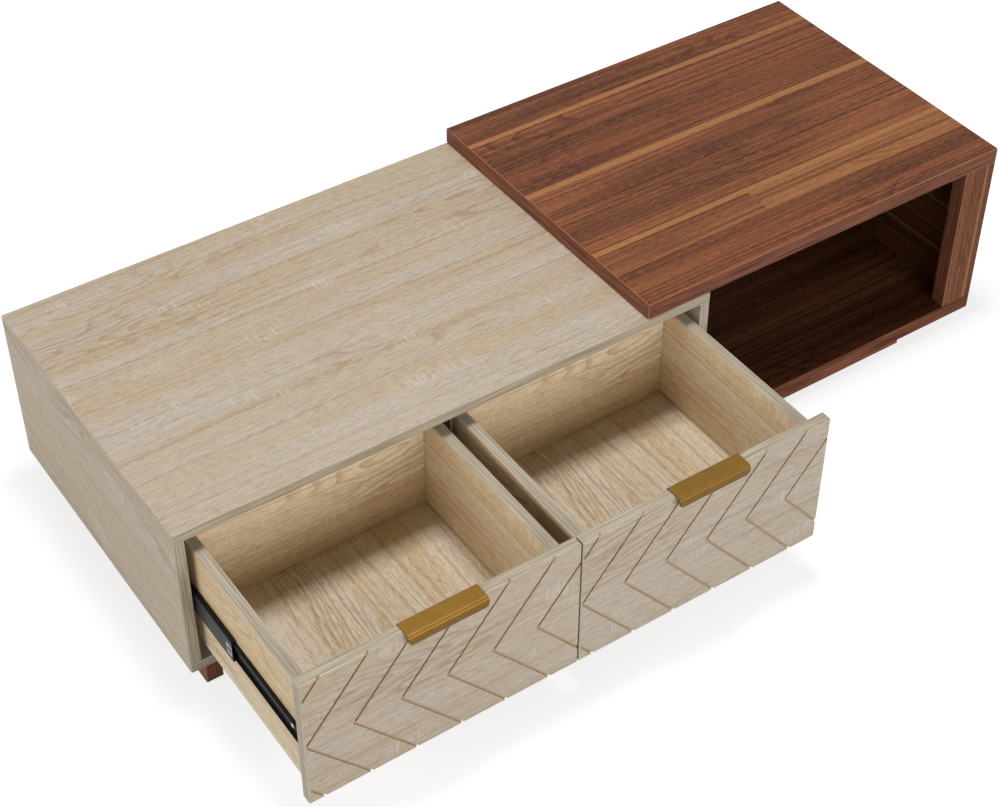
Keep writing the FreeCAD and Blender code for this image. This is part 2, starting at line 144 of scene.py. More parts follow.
def shown(tree, noise, layer):
    """How far a layer shows, from 0 to 1."""
    return fade(tree, noise, layer.low, layer.high)


NOISE_MIDDLE = 0.5


def sway(tree, place, noise, reach):
    """Place moved to and fro by a noise."""
    return calc(tree, "MULTIPLY_ADD", calc(tree, "SUBTRACT", noise, NOISE_MIDDLE), reach, place)


GRAIN_DRIFT = Layer(length=0.6, width=0.2, detail=1.0)
GRAIN_RIPPLE = Layer(length=0.024, width=0.014, detail=1.0)


def grain_line(tree, spots, seed, bend, waver):
    """Place across the grain, bent slowly along the board and wavering finely."""
    along, across = spots[:2]
    drift = strands(tree, along, across, seed, GRAIN_DRIFT)
    ripple = strands(tree, along, across, seed, GRAIN_RIPPLE)
    return sway(tree, sway(tree, across, drift, bend), ripple, waver)


RING_RISE = (0.4, 0.92)
RING_FALL = (1.0, 0.94)


def growth_rings(tree, run, side, seed, layer, count):
    """Thin late-wood lines of nested rings, as a flat cut opens them into loops."""
    hills = strands(tree, run, side, seed, layer)
    rings = calc(tree, "FRACT", calc(tree, "MULTIPLY", hills, count))
    return calc(tree, "MULTIPLY", fade(tree, rings, *RING_RISE), fade(tree, rings, *RING_FALL))


OAK_BEND = 0.03
OAK_WAVER = 0.001
OAK_BANDS = Layer(length=1.6, width=0.042, detail=2.0, shift=8.3, low=0.40, high=0.68)
OAK_STREAKS = Layer(length=1.0, width=0.007, detail=2.0, shift=2.1, low=0.54, high=0.68, strength=1.2)
OAK_LINES = Layer(length=0.24, width=0.0023, detail=2.0, shift=6.5, low=0.48, high=0.70, strength=0.9)
OAK_PORES = Layer(length=0.012, width=0.0010, detail=1.0, shift=1.7, low=0.50, high=0.68, strength=0.44)
OAK_BETWEEN_PORES = OAK_PORES._replace(high=0.32)
OAK_RINGS = Layer(length=0.42, width=0.07, detail=1.0, shift=3.1, strength=1.7)
OAK_RING_COUNT = 17
OAK_FLAT_CUTS = Layer(length=0.38, width=0.09, detail=1.0, shift=5.7, low=0.50, high=0.66)
OAK_COMBS = Layer(length=0.003, width=0.04, detail=0.0, shift=4.4, low=0.45, high=0.62, strength=0.6)
OAK_SAWN = Layer(length=0.11, width=0.045, detail=1.0, shift=2.9, low=0.61, high=0.72)


class OakColours(NamedTuple):
    """Colours of an oak print: its ground, its bands, its lines and its saw marks."""
    pale: tuple
    tan: tuple
    line: tuple
    mark: tuple


def oak_print(tree, spots, seed, colours, figure):
    """Colour and height of the oak print: broad tan bands, narrow streaks, thin
    lines, short pores, growth rings in patches and combs of pale saw marks."""
    along, across = spots[:2]
    bent = grain_line(tree, spots, seed, OAK_BEND, OAK_WAVER)
    bands, streaks, lines, pores = [
        strands(tree, along, bent, seed + layer.shift, layer)
        for layer in (OAK_BANDS, OAK_STREAKS, OAK_LINES, OAK_PORES)
    ]
    rings = growth_rings(tree, along, bent, seed + OAK_RINGS.shift, OAK_RINGS, OAK_RING_COUNT)
    flat_cut, comb, sawn = [
        strands(tree, along, across, seed + layer.shift, layer)
        for layer in (OAK_FLAT_CUTS, OAK_COMBS, OAK_SAWN)
    ]
    rings = calc(tree, "MULTIPLY", rings, shown(tree, flat_cut, OAK_FLAT_CUTS))
    comb = calc(tree, "MULTIPLY", shown(tree, comb, OAK_COMBS), shown(tree, sawn, OAK_SAWN))

    colour = blend(tree, shown(tree, bands, OAK_BANDS), colours.pale, colours.tan)
    for share, strength, other in (
        (shown(tree, streaks, OAK_STREAKS), figure * OAK_STREAKS.strength, colours.line),
        (rings, figure * OAK_RINGS.strength, colours.line),
        (shown(tree, lines, OAK_LINES), figure * OAK_LINES.strength, colours.line),
        (shown(tree, pores, OAK_PORES), OAK_PORES.strength, colours.line),
        (shown(tree, pores, OAK_BETWEEN_PORES), OAK_BETWEEN_PORES.strength, colours.mark),
        (comb, OAK_COMBS.strength, colours.mark),
    ):
        colour = tint(tree, colour, share, strength, other)
    height = calc(tree, "SUBTRACT", 1.0, calc(tree, "ADD", pores, lines))
    return colour, height


class Edges(NamedTuple):
    """Colours of a board's edge bands, and the tone and strength of the painted highlight on its
    arrises.
    """
    dark: tuple
    light: tuple
    arris_highlight: tuple
    highlight_strength: float


BAND_STRIPES_PER_METRE = 520
BAND_WAVES_PER_METRE = 9
BAND_ROUGHNESS = 0.55
BAND_CONTRAST = (0.3, 0.7)

# A surface is flat where it faces at least this far along one axis.
FLAT = 0.9


def banded(tree, spots, sides, seed, colour, edges):
    """Colour of a whole board: its print on the faces, thin soft stripes on the
    banded edges, and a pale painted highlight on the arrises."""
    along, across, through = spots
    to_face, to_end, to_edge = sides
    length = calc(tree, "MULTIPLY", calc(tree, "ADD", along, across), BAND_WAVES_PER_METRE)
    depth = calc(tree, "MULTIPLY", through, BAND_STRIPES_PER_METRE)
    stripes = speckle(tree, length, depth, seed, roughness=BAND_ROUGHNESS)
    band = blend(tree, fade(tree, stripes, *BAND_CONTRAST), edges.dark, edges.light)
    colour = blend(tree, calc(tree, "GREATER_THAN", to_face, FLAT), band, colour)
    # The arrises get a pale painted highlight, in place of the light a rounded edge catches.
    flattest = calc(tree, "MAXIMUM", calc(tree, "MAXIMUM", to_face, to_end), to_edge)
    on_arris = calc(tree, "LESS_THAN", flattest, FLAT)
    return tint(tree, colour, on_arris, edges.highlight_strength, edges.arris_highlight)


def link_surface(tree, shader, colour, roughness, height, strength, depth):
    """Give a shader its colour and roughness, and a height as relief."""
    tree.links.new(colour, shader.inputs["Base Color"])
    tree.links.new(roughness, shader.inputs["Roughness"])
    relief = put(tree, "Bump", [("Strength", strength), ("Distance", depth), ("Height", height)])
    tree.links.new(relief.outputs[0], shader.inputs["Normal"])


OUTSIDE_OAK = OakColours(
    pale=shade(194, 182, 167), tan=shade(191, 172, 145),
    line=shade(157, 129, 95), mark=shade(208, 198, 184),
)
# The arris tone and its strength paint a highlight along each arris.
OAK_EDGES = Edges(
    dark=shade(152, 140, 117), light=shade(198, 187, 168), arris_highlight=shade(196, 184, 164), highlight_strength=0.4,
)
OAK_FIGURE = 0.36
OAK_ROUGHNESS = 0.56
OAK_ROUGHNESS_SPREAD = 0.14
OAK_SHINE = 0.25
OAK_RELIEF = 0.3
OAK_PORE_DEPTH = 0.0005


def oak_finish(name, along, across, start, seed, colours=OUTSIDE_OAK, figure=OAK_FIGURE):
    """Oak board: printed face, banded edges, a faint painted highlight on the arrises."""
    finish, tree, shader = new_finish(name)
    spots, sides = board_places(tree, along, across, start)
    colour, height = oak_print(tree, spots, seed, colours, figure)
    colour = banded(tree, spots, sides, seed, colour, OAK_EDGES)
    roughness = calc(tree, "MULTIPLY_ADD", height, OAK_ROUGHNESS_SPREAD, OAK_ROUGHNESS)
    link_surface(tree, shader, colour, roughness, height, OAK_RELIEF, OAK_PORE_DEPTH)
    shader.inputs["Specular IOR Level"].default_value = OAK_SHINE
    return finish


def cover(mesh, finish):
    """Give a mesh one finish."""
    mesh.materials.clear()
    mesh.materials.append(finish)


def dress(finish, *names):
    """Give CAD nodes their finish."""
    for name in names:
        cover(nodes[name].data, finish)


for name, along, across, seed in (
    ("oak_top", X, Y, 2.0),
    ("oak_bottom", X, Y, 11.0),
    ("oak_left_side", Y, Z, 5.0),
    ("oak_right_side", Y, Z, 7.0),
    ("oak_back", X, Z, 9.0),
):
    dress(oak_finish(name + "_oak", along, across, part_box(name)[0], seed), name)

# Partition between the drawers: folded steel channel with a dull brown powder
# coat, made darker as painted shade for the gap between the drawers, fixed to
# the top and the bottom by cross-head screws through its flanges.
COAT_PEEL_SCALE = 900.0
COAT_PEEL_DETAIL = 2.0
COAT_PEEL_DEPTH = 0.0002
COAT_RELIEF = 0.12
COAT_CLOUD_SCALE = 28.0
COAT_CLOUD_DETAIL = 3.0
COAT_CLOUDS = (0.35, 0.7)
COAT_CLOUD_SHADE = 0.72
COAT_ROUGHNESS_SPREAD = 0.2


def mottle(tree, place, scale, detail):
    """Noise from 0 to 1 all over a surface."""
    values = [("Vector", place), ("Scale", scale), ("Detail", detail)]
    return put(tree, "TexNoise", values).outputs["Fac"]


def darker(colour, share):
    """Colour taken down to a share of its light."""
    return (*(share * part for part in colour[:3]), 1.0)


def coated_finish(name, colour, roughness):
    """Powder-coated or moulded surface: a little mottled, with a fine peel."""
    finish, tree, shader = new_finish(name)
    place = put(tree, "TexCoord").outputs["Object"]
    peel = mottle(tree, place, COAT_PEEL_SCALE, COAT_PEEL_DETAIL)
    cloud = mottle(tree, place, COAT_CLOUD_SCALE, COAT_CLOUD_DETAIL)
    mottled = blend(tree, fade(tree, cloud, *COAT_CLOUDS), colour, darker(colour, COAT_CLOUD_SHADE))
    smoothest = roughness - COAT_ROUGHNESS_SPREAD / 2
    varied = calc(tree, "MULTIPLY_ADD", cloud, COAT_ROUGHNESS_SPREAD, smoothest)
    link_surface(tree, shader, mottled, varied, peel, COAT_RELIEF, COAT_PEEL_DEPTH)
    return finish


# The coat's brown is darkened as painted shade in the narrow gap between the drawers.
PARTITION_BROWN_AND_SHADE = shade(100, 90, 75)
dress(coated_finish("partition_coat_and_shade", PARTITION_BROWN_AND_SHADE, roughness=0.6), "slide_partition")

METAL_LINE_DETAIL = 3.0
METAL_LINE_DEPTH = 0.0001
METAL_RELIEF = 0.06
METAL_CLOUD_SCALE = 60.0
METAL_CLOUD_DETAIL = 2.0
METAL_CLOUDS = (0.4, 0.75)
METAL_CLOUD_SHADE = 0.92
METAL_ROUGHNESS_SPREAD = 0.16
PLATED_LINES_PER_METRE = (40.0, 40.0, 900.0)
ZINC_GREY = shade(190, 190, 186)


def metal_finish(name, colour, roughness, lines_per_metre=PLATED_LINES_PER_METRE):
    """Plated or brushed metal: fine lines in its roughness and relief."""
    finish, tree, shader = new_finish(name)
    place = put(tree, "TexCoord").outputs["Object"]
    stretch = put(tree, "Mapping", [("Vector", place), ("Scale", lines_per_metre)]).outputs[0]
    lines = mottle(tree, stretch, 1.0, METAL_LINE_DETAIL)
    cloud = mottle(tree, place, METAL_CLOUD_SCALE, METAL_CLOUD_DETAIL)
    clouded = blend(tree, fade(tree, cloud, *METAL_CLOUDS), colour, darker(colour, METAL_CLOUD_SHADE))
    shader.inputs["Metallic"].default_value = 1.0
    smoothest = roughness - METAL_ROUGHNESS_SPREAD / 2
    varied = calc(tree, "MULTIPLY_ADD", lines, METAL_ROUGHNESS_SPREAD, smoothest)
    link_surface(tree, shader, clouded, varied, lines, METAL_RELIEF, METAL_LINE_DEPTH)
    return finish


zinc = metal_finish("zinc_plate", ZINC_GREY, roughness=0.4)


def begin(name):
    """Primitive just added, named, with its place and size put into its mesh."""
    piece = bpy.context.object
    piece.name = name
    bpy.ops.object.transform_apply(location=True, rotation=True, scale=True)
    return piece


def pick(piece):
    """Select one piece alone."""
    bpy.ops.object.select_all(action="DESELECT")
    piece.select_set(True)
    bpy.context.view_layer.objects.active = piece


def open_with(piece, kind, wanted):
    """Open a piece in edit mode with its wanted edges or faces selected."""
    bpy.ops.object.mode_set(mode="EDIT")
    bpy.ops.mesh.select_all(action="DESELECT")
    bpy.ops.mesh.select_mode(type=kind)
    shape = bmesh.from_edit_mesh(piece.data)
    for part in shape.edges if kind == "EDGE" else shape.faces:
        part.select_set(wanted(part))
    bmesh.update_edit_mesh(piece.data)


def cut_away(piece, tool):
    """Cut the shape of a tool out of a piece."""
    cut = piece.modifiers.new("cut", "BOOLEAN")
    cut.operation = "DIFFERENCE"
    cut.object = tool
    pick(piece)
    bpy.ops.object.modifier_apply(modifier=cut.name)
    bpy.data.objects.remove(tool)


def smooth(piece, finish, crease):
    """Smooth a piece up to a crease in degrees and give it its finish."""
    bpy.ops.object.shade_smooth_by_angle(angle=math.radians(crease))
    cover(piece.data, finish)


# The dome and the cross of a screw head are shares of its radius and height.
SCREW_SIDES = 28
SCREW_RIM = 0.9
SCREW_DOME = 0.6
SCREW_DOME_STEPS = 4
SCREW_CREASE = 35
CROSS_LENGTH = 1.1
CROSS_WIDTH = 0.28
CROSS_DEPTH = 1.2


def cross_screw(name, radius, height, finish):
    """Domed screw head with a cross recess, modelled upright on the origin."""
    bpy.ops.object.select_all(action="DESELECT")
    bpy.ops.mesh.primitive_cylinder_add(
        vertices=SCREW_SIDES, radius=radius, depth=height, location=(0, 0, height / 2),
    )
    head = begin(name)
    rim = height * SCREW_RIM
    open_with(head, "EDGE", lambda edge: all(corner.co.z > rim for corner in edge.verts))
    bpy.ops.mesh.bevel(offset=height * SCREW_DOME, segments=SCREW_DOME_STEPS, affect="EDGES")
    bpy.ops.object.mode_set(mode="OBJECT")
    length = radius * CROSS_LENGTH
    width = radius * CROSS_WIDTH
    depth = height * CROSS_DEPTH
    for blade_size in ((length, width, depth), (width, length, depth)):
        bpy.ops.object.select_all(action="DESELECT")
        bpy.ops.mesh.primitive_cube_add(size=1.0, location=(0, 0, height), scale=blade_size)
        cut_away(head, bpy.context.object)
    smooth(head, finish, SCREW_CREASE)
    return head


def fix(master, name, spot, facing, body):
    """Copy of a modelled piece, set on a face and riding on its body."""
    piece = master.copy()
    piece.data = master.data.copy()
    piece.name = name
    bpy.context.scene.collection.objects.link(piece)
    piece.location = spot
    piece.rotation_euler = Vector(facing).to_track_quat("Z", "Y").to_euler()
    pick(piece)
    bpy.ops.object.transform_apply(location=True, rotation=True, scale=True)
    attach(piece, body)


def between(low, high, share):
    """Place that lies a share of the way from low to high."""
    return low + share * (high - low)


UP = (0.0, 0.0, 1.0)
DOWN = (0.0, 0.0, -1.0)
PARTITION_SHEET = 0.002
FLANGE_MIDDLE = 0.012
PARTITION_SCREW_RADIUS = 0.004
PARTITION_SCREW_HEIGHT = 0.002
PARTITION_SCREW_SHARES = (0.1, 0.5, 0.9)
screw = cross_screw("partition_screw", PARTITION_SCREW_RADIUS, PARTITION_SCREW_HEIGHT, zinc)
low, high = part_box("slide_partition")
side = high[X] - FLANGE_MIDDLE
for count, share in enumerate(PARTITION_SCREW_SHARES):
    run = between(low[Y], high[Y], share)
    for level, rise, facing in (
        ("low", low[Z] + PARTITION_SHEET, UP),
        ("high", high[Z] - PARTITION_SHEET, DOWN),
    ):
        name = f"partition_screw_{level}_{count}"
        fix(screw, name, (side, run, rise), facing, "cabinet")
bpy.data.objects.remove(screw)

# Walnut boards: 25 mm board faced with a planked walnut print, dark planks with
# a few tan sapwood strips, edges banded with a fine stripe and a pale painted
# highlight along each arris. The base rail and the skids are cut from the same board.

# A plank starts at a share of the board's width and has a tone, from dark to tan.
TOP_PLANKS = (
    (0.000, 0.34), (0.148, 0.70), (0.156, 0.50), (0.246, 0.90), (0.263, 0.46), (0.415, 0.42),
    (0.563, 0.88), (0.589, 0.30), (0.735, 0.40), (0.864, 0.84), (0.886, 0.36),
)
BOTTOM_PLANKS = (
    (0.000, 0.34), (0.165, 0.57), (0.262, 0.36), (0.415, 0.42), (0.589, 0.30), (0.735, 0.40),
)
STILE_PLANKS = ((0.000, 0.36), (0.300, 0.50), (0.420, 0.30), (0.700, 0.78), (0.800, 0.40))
RAIL_PLANKS = ((0.000, 0.40), (0.550, 0.46))
SKID_PLANKS = ((0.000, 0.62), (0.550, 0.66))
PLANK_WANDER = Layer(length=0.33, width=0.05, detail=1.0)
PLANK_WANDER_SHARE = 0.008
SPLICED_TONE = 0.50
SPLICED_TONE_MATCH = 0.02
SPLICE_PLACE = 0.275
SPLICE_TONE_STEP = 0.18


def ramp(tree, value, stops, interpolation="LINEAR"):
    """Colour that a value finds between stops, each a place and a colour."""
    made = put(tree, "ValToRGB", [(0, value)])
    made.color_ramp.interpolation = interpolation
    elements = made.color_ramp.elements
    ready = len(elements)
    for count, (place, colour) in enumerate(stops):
        stop = elements[count] if count < ready else elements.new(place)
        stop.position = place
        stop.color = colour
    return made.outputs[0]


def plank_tone(tree, run, side, width, planks, seed):
    """Tone of the plank at a place, where one plank is spliced from two lengths."""
    wander = strands(tree, run, side, seed, PLANK_WANDER)
    share = sway(tree, calc(tree, "DIVIDE", side, width), wander, PLANK_WANDER_SHARE)
    greys = [(start, (tone, tone, tone, 1.0)) for start, tone in planks]
    plank = calc(tree, "ADD", ramp(tree, share, greys, "CONSTANT"), 0.0)
    spliced = calc(tree, "COMPARE", plank, SPLICED_TONE, SPLICED_TONE_MATCH)
    spliced = calc(tree, "MULTIPLY", spliced, calc(tree, "GREATER_THAN", run, SPLICE_PLACE))
    return calc(tree, "MULTIPLY_ADD", spliced, SPLICE_TONE_STEP, plank)


WALNUT_TONES = (
    (0.20, shade(118, 65, 42)), (0.45, shade(156, 95, 61)),
    (0.60, shade(165, 107, 68)), (0.90, shade(172, 119, 73)),
)
WALNUT_DARK = shade(58, 29, 20)
WALNUT_PALE = shade(196, 138, 96)
WALNUT_BEND = 0.014
WALNUT_WAVER = 0.0005
WALNUT_CLOUDS = Layer(length=0.6, width=0.04, detail=2.0, low=0.42, high=0.70, strength=0.58)
WALNUT_LINES = Layer(length=0.6, width=0.0034, detail=3.0, low=0.42, high=0.62, strength=0.6)
WALNUT_PORES = Layer(length=0.014, width=0.0010, detail=1.0, low=0.50, high=0.68, strength=0.36)
WALNUT_BETWEEN_PORES = WALNUT_PORES._replace(high=0.32, strength=0.22)
WALNUT_RINGS = Layer(length=0.36, width=0.06, detail=1.0, strength=0.6)
WALNUT_RING_COUNT = 15
WALNUT_FLAT_CUTS = Layer(length=0.3, width=0.12, detail=1.0, low=0.46, high=0.62)
PLANK_SEED_STEP = 17

# From the first tone up a plank is plain sapwood, from the second down it is fully figured.
SAPWOOD_FADES = (0.85, 0.6)
SAPWOOD_LINES = 0.14


def walnut_print(tree, spots, width, planks, seed):
    """Colour of the walnut print, with the noises of its pores and lines: each plank
    has its own tone, clouds, growth rings and lines, and sapwood has few of them."""
    run, side = spots[:2]
    tone = plank_tone(tree, run, side, width, planks, seed)
    plank_seed = calc(tree, "MULTIPLY_ADD", tone, PLANK_SEED_STEP, seed)
    bent = grain_line(tree, spots, seed, WALNUT_BEND, WALNUT_WAVER)
    clouds = strands(tree, run, bent, plank_seed, WALNUT_CLOUDS)
    lines = strands(tree, run, bent, plank_seed, WALNUT_LINES)
    pores = strands(tree, run, bent, seed, WALNUT_PORES)
    rings = growth_rings(tree, run, bent, plank_seed, WALNUT_RINGS, WALNUT_RING_COUNT)
    flat_cut = strands(tree, run, side, plank_seed, WALNUT_FLAT_CUTS)
    rings = calc(tree, "MULTIPLY", rings, shown(tree, flat_cut, WALNUT_FLAT_CUTS))
    figured = fade(tree, tone, *SAPWOOD_FADES)
    clouded = calc(tree, "MULTIPLY", shown(tree, clouds, WALNUT_CLOUDS), figured)
    ringed = calc(tree, "MULTIPLY", rings, figured)
    lined = calc(tree, "MULTIPLY_ADD", figured, WALNUT_LINES.strength, SAPWOOD_LINES)

    colour = ramp(tree, tone, WALNUT_TONES)
    for share, strength, other in (
        (clouded, WALNUT_CLOUDS.strength, WALNUT_DARK),
        (ringed, WALNUT_RINGS.strength, WALNUT_DARK),
        (shown(tree, lines, WALNUT_LINES), lined, WALNUT_DARK),
        (shown(tree, pores, WALNUT_PORES), WALNUT_PORES.strength, WALNUT_DARK),
        (shown(tree, pores, WALNUT_BETWEEN_PORES), WALNUT_BETWEEN_PORES.strength, WALNUT_PALE),
    ):
        colour = tint(tree, colour, share, strength, other)
    return colour, pores, lines


# The arris tone and its strength paint a highlight along each arris.
WALNUT_EDGES = Edges(
    dark=shade(80, 42, 29), light=shade(146, 93, 69), arris_highlight=shade(176, 124, 98), highlight_strength=0.6,
)
WALNUT_ROUGHNESS = 0.46
WALNUT_ROUGHNESS_SPREAD = 0.16
WALNUT_SHINE = 0.12
WALNUT_RELIEF = 0.25
WALNUT_PORE_DEPTH = 0.0004
# Faces inside the cubby: the painted shade that darkens their colour, their shine, and how far a face
# must look inwards.
CUBBY_PAINTED_SHADE = (0.38, 0.38, 0.38, 1.0)
CUBBY_SHINE = 0.03
CUBBY_FACING = 0.5


def walnut_finish(name, along, across, start, width, planks, seed, inner=None):
    """Walnut board: planked print, banded edges and a painted highlight on the arrises.
    The face that looks the inner way, into the cubby, is darkened with painted shade and duller."""
    finish, tree, shader = new_finish(name)
    spots, sides = board_places(tree, along, across, start)
    colour, pores, lines = walnut_print(tree, spots, width, planks, seed)
    colour = banded(tree, spots, sides, seed, colour, WALNUT_EDGES)
    shader.inputs["Specular IOR Level"].default_value = WALNUT_SHINE if inner is None else CUBBY_SHINE
    # Faces that look into the cubby are darkened as painted shade of the recess.
    if inner is not None:
        normal = put(tree, "TexCoord").outputs["Normal"]
        facing = put(tree, "VectorMath", [(0, normal), (1, inner)], operation="DOT_PRODUCT")
        inside = calc(tree, "GREATER_THAN", facing.outputs["Value"], CUBBY_FACING)
        colour = blend(tree, inside, colour, blend(tree, 1.0, colour, CUBBY_PAINTED_SHADE, "MULTIPLY"))
    roughness = calc(tree, "MULTIPLY_ADD", pores, WALNUT_ROUGHNESS_SPREAD, WALNUT_ROUGHNESS)
    height = calc(tree, "SUBTRACT", 1.0, calc(tree, "ADD", pores, lines))
    link_surface(tree, shader, colour, roughness, height, WALNUT_RELIEF, WALNUT_PORE_DEPTH)
    return finish


LEFT = (-1.0, 0.0, 0.0)
for name, along, across, planks, seed, inner in (
    ("walnut_top", X, Y, TOP_PLANKS, 0.0, None),
    ("walnut_bottom", X, Y, BOTTOM_PLANKS, 3.0, UP),
    ("walnut_end_panel", Y, Z, TOP_PLANKS, 6.0, LEFT),
    ("walnut_front_stile", Z, X, STILE_PLANKS, 8.0, None),
    ("walnut_rear_stile", Z, X, STILE_PLANKS, 12.0, None),
    ("left_base_rail", Y, Z, RAIL_PLANKS, 14.0, None),
    ("front_skid", X, Z, SKID_PLANKS, 17.0, None),
    ("rear_skid", X, Z, SKID_PLANKS, 19.0, None),
):
    low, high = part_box(name)
    width = high[across] - low[across]
    dress(walnut_finish(name + "_walnut", along, across, low, width, planks, seed, inner), name)

# Screws of the base rail and the skids: flat cross heads of zinc-plated steel,
# driven from below into the board above, between the floor glides.
RAIL_SCREW_RADIUS = 0.0042
RAIL_SCREW_HEIGHT = 0.0006
RAIL_SCREW_SHARES = (0.2, 0.5, 0.8)
screw = cross_screw("rail_screw", RAIL_SCREW_RADIUS, RAIL_SCREW_HEIGHT, zinc)
for board, body, along in (
    ("left_base_rail", "cabinet", Y),
    ("front_skid", "walnut_section", X),
    ("rear_skid", "walnut_section", X),
):
    low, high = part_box(board)
    for count, share in enumerate(RAIL_SCREW_SHARES):
        spot = [(near + far) / 2 for near, far in zip(low, high)]
        spot[along] = between(low[along], high[along], share)
        spot[Z] = low[Z]
        fix(screw, f"{board}_screw_{count}", spot, DOWN, body)
bpy.data.objects.remove(screw)

# Hidden fittings: zinc-plated cam bolts, locks, guide bolts and keeper plates,
# beech dowels glued into the boards, and brown nylon glides, pads and shoes where
# the table stands on the floor or the section slides on the cabinet.
dress(zinc, "cabinet_cam_bolts", "cabinet_cam_locks", "walnut_cam_bolts", "walnut_cam_locks")
dress(zinc, "guide_bolts", "guide_keepers")

BEECH_PALE = shade(214, 180, 138)
BEECH_FLECK = shade(186, 146, 102)
BEECH_FLECKS_PER_METRE = (200, 900, 900)
BEECH_CONTRAST = (0.4, 0.7)
BEECH_ROUGHNESS = 0.5
BEECH_ROUGHNESS_SPREAD = 0.2
beech, tree, shader = new_finish("beech")
spots, sides = board_places(tree, X, Y, (0.0, 0.0, 0.0))
scaled = [calc(tree, "MULTIPLY", spot, scale) for spot, scale in zip(spots, BEECH_FLECKS_PER_METRE)]
fleck = speckle(tree, *scaled)
colour = blend(tree, fade(tree, fleck, *BEECH_CONTRAST), BEECH_PALE, BEECH_FLECK)
tree.links.new(colour, shader.inputs["Base Color"])
roughness = calc(tree, "MULTIPLY_ADD", fleck, BEECH_ROUGHNESS_SPREAD, BEECH_ROUGHNESS)
tree.links.new(roughness, shader.inputs["Roughness"])
dress(beech, "cabinet_dowels", "walnut_dowels", "left_drawer_dowels", "right_drawer_dowels")

NYLON_BROWN = shade(74, 52, 40)
nylon = coated_finish("brown_nylon", NYLON_BROWN, roughness=0.45)
dress(nylon, "base_rail_glides", "skid_glides", "glide_pads", "guide_shoes")

# Cover caps over the two cam locks of the end panel: brown plastic discs with a
# rounded rim and a shallow dish, pressed into the locks.
CAP_RADIUS = 0.0088
CAP_HEIGHT = 0.0012
CAP_SIDES = 36
CAP_RIM_WIDTH = CAP_HEIGHT * 0.5
CAP_RIM_RISE = CAP_HEIGHT * 0.25
CAP_DISH_EDGE = CAP_HEIGHT * 0.6
CAP_DISH_DEPTH = CAP_HEIGHT * 0.3
CAP_CREASE = 40
bpy.ops.object.select_all(action="DESELECT")
bpy.ops.mesh.primitive_cylinder_add(
    vertices=CAP_SIDES, radius=CAP_RADIUS, depth=CAP_HEIGHT, location=(0, 0, CAP_HEIGHT / 2),
)
cap = begin("cam_cap")
open_with(cap, "FACE", lambda face: face.normal.z > FLAT)
bpy.ops.mesh.inset(thickness=CAP_RIM_WIDTH)
bpy.ops.transform.translate(value=(0, 0, CAP_RIM_RISE))
bpy.ops.mesh.inset(thickness=CAP_DISH_EDGE)
bpy.ops.transform.translate(value=(0, 0, -CAP_DISH_DEPTH))
bpy.ops.object.mode_set(mode="OBJECT")
smooth(cap, nylon, CAP_CREASE)
low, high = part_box("walnut_cam_locks")
lock_radius = (high[Z] - low[Z]) / 2
for side, run in (("front", low[Y] + lock_radius), ("rear", high[Y] - lock_radius)):
    spot = (low[X], run, low[Z] + lock_radius)
    fix(cap, f"cam_cap_{side}", spot, LEFT, "walnut_section")
bpy.data.objects.remove(cap)

# Drawers: oak-faced boards, dowelled at the corners, the thin bottom in grooves.
# The fronts have routed chevrons, whose cut shows the tan core of the board, made lighter with painted
# light.

# Depths behind a front's face where the core begins and ends, each with its fade.
GROOVE_BEGINS = (0.0005, 0.0009)
GROOVE_ENDS = (0.0036, 0.0032)

# A groove's wall is square to the face where it faces less than this to the back.
SQUARE = 0.1
CORE_SCALE = 700.0
CORE_DETAIL = 3.0
CORE_CONTRAST = (0.35, 0.7)
# The core's tones are the board's own, made lighter as painted light against the shade in the groove;
# its walls are painted lighter still.
CORE_TAN = shade(190, 168, 135)
CORE_DARK = shade(164, 142, 110)
CORE_WALL_PAINTED_LIGHT = shade(194, 173, 141)


def front_finish(name, start, seed):
    """Drawer front: oak print, with the board's core in the routed grooves, made lighter as painted
    light, its walls lighter still.
    """
    finish = oak_finish(name, X, Z, start, seed)
    tree = finish.node_tree
    shader = tree.nodes["Principled BSDF"]
    colour = shader.inputs["Base Color"].links[0].from_socket
    place = put(tree, "TexCoord")
    depth = put(tree, "SeparateXYZ", [(0, place.outputs["Object"])]).outputs[Y]
    facing = put(tree, "SeparateXYZ", [(0, place.outputs["Normal"])]).outputs
    below_face = fade(tree, depth, *(start[Y] + reach for reach in GROOVE_BEGINS))
    above_end = fade(tree, depth, *(start[Y] + reach for reach in GROOVE_ENDS))
    inside = calc(tree, "MULTIPLY", below_face, above_end)
    to_front = calc(tree, "LESS_THAN", facing[Y], -FLAT)
    sideways, backwards, upwards = [calc(tree, "ABSOLUTE", facing[axis]) for axis in (X, Y, Z)]
    slanted = calc(tree, "LESS_THAN", calc(tree, "MAXIMUM", sideways, upwards), FLAT)
    square = calc(tree, "LESS_THAN", backwards, SQUARE)
    wall = calc(tree, "MULTIPLY", slanted, square)
    chips = mottle(tree, place.outputs["Object"], CORE_SCALE, CORE_DETAIL)
    core = blend(tree, fade(tree, chips, *CORE_CONTRAST), CORE_TAN, CORE_DARK)
    # The core and, lighter still, the groove walls carry painted light against the groove's shade.
    colour = blend(tree, calc(tree, "MULTIPLY", inside, to_front), colour, core)
    colour = blend(tree, wall, colour, CORE_WALL_PAINTED_LIGHT)
    tree.links.new(colour, shader.inputs["Base Color"])
    return finish


INSIDE_FIGURE = 0.34
